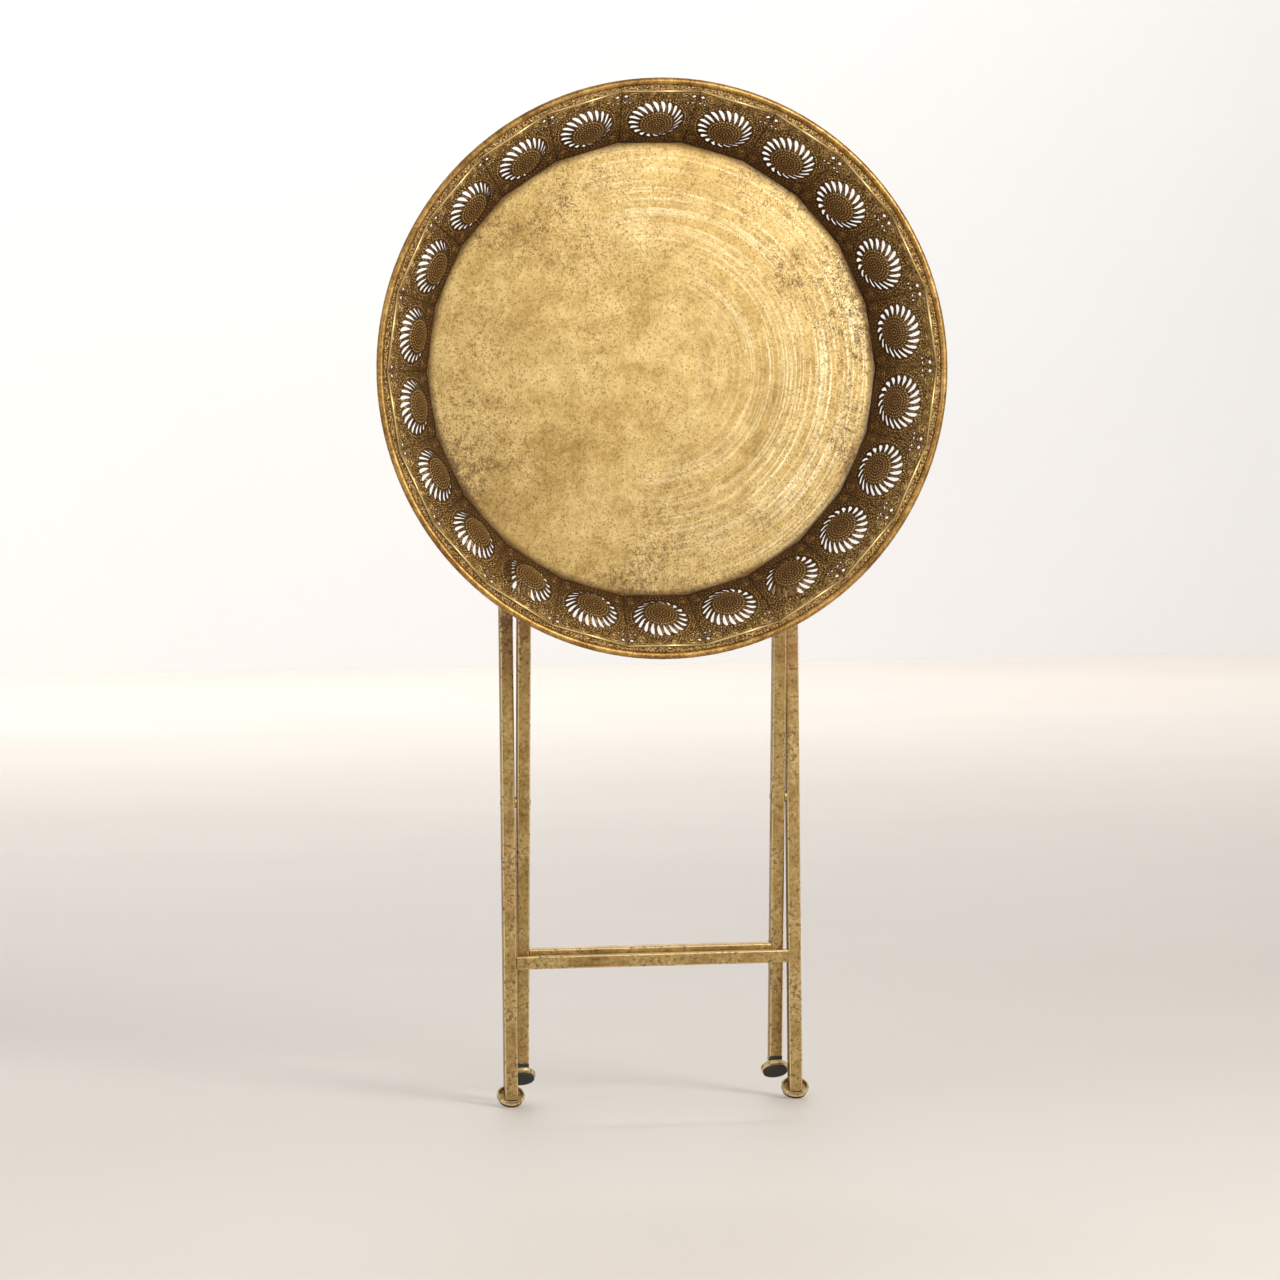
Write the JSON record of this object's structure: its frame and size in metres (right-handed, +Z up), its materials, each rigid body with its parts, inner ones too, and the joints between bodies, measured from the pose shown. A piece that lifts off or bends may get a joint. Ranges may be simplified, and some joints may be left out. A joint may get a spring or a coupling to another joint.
{
  "type": "folding tray table",
  "caption": "Folding tray table: a round brass-finish tray with a pierced gallery, hinged on crossed square-tube legs, folded with the tray upright.",
  "frame": {"origin": "bottom centre of the folded table's box", "axes": "+Z up along the legs, -Y out of the tray's face, +X to the right seen from the front"},
  "size_m": [0.5199, 0.1254, 0.9283],
  "materials": {
    "brass_leaf": "gold leaf over brass, speckled with brown age spots",
    "old_brass": "embossed and pierced, antiqued dark in the hollows",
    "gold_tube": "antique gold with rubbed rusty brown mottling",
    "black_plastic": "moulded black",
    "black_rubber": "matt black"
  },
  "bodies": {
    "outer_frame": {"outer_leg_left": "gold_tube", "outer_leg_right": "gold_tube", "outer_top_bar": "gold_tube", "outer_cross_bar": "gold_tube", "outer_plug_left": "black_plastic", "outer_plug_right": "black_plastic", "outer_cup_left": "gold_tube", "outer_cup_right": "gold_tube", "outer_pad_left": "black_rubber", "outer_pad_right": "black_rubber", "pivot_rivet_left": "gold_tube", "pivot_rivet_right": "gold_tube", "pivot_washer_left": "gold_tube", "pivot_washer_right": "gold_tube"},
    "inner_frame": {"inner_leg_left": "gold_tube", "inner_leg_right": "gold_tube", "inner_top_bar": "gold_tube", "inner_cross_bar": "gold_tube", "inner_plug_left": "black_plastic", "inner_plug_right": "black_plastic", "inner_cup_left": "gold_tube", "inner_cup_right": "gold_tube", "inner_pad_left": "black_rubber", "inner_pad_right": "black_rubber"},
    "tray": {"tray_floor": "brass_leaf", "pierced_gallery": "old_brass", "gallery_flange": "old_brass", "rim_wire": "old_brass", "hinge_clip_left": "gold_tube", "hinge_clip_right": "gold_tube", "catch_clip_left": "gold_tube", "catch_clip_right": "gold_tube"}
  },
  "joints": [
    {"name": "frame_fold", "type": "hinge", "parent": "outer_frame", "child": "inner_frame", "pos_m": [0, 0.02845, 0.27711], "axis": [1, 0, 0], "range_deg": [0, 59.8]},
    {"name": "tray_turn", "type": "hinge", "parent": "inner_frame", "child": "tray", "pos_m": [0, 0.00556, 0.52862], "axis": [1, 0, 0], "range_deg": [-114.85, 0]}
  ],
  "couplings": [
    {"joint": "tray_turn", "follows": "frame_fold", "ratio": -1.9197}
  ]
}
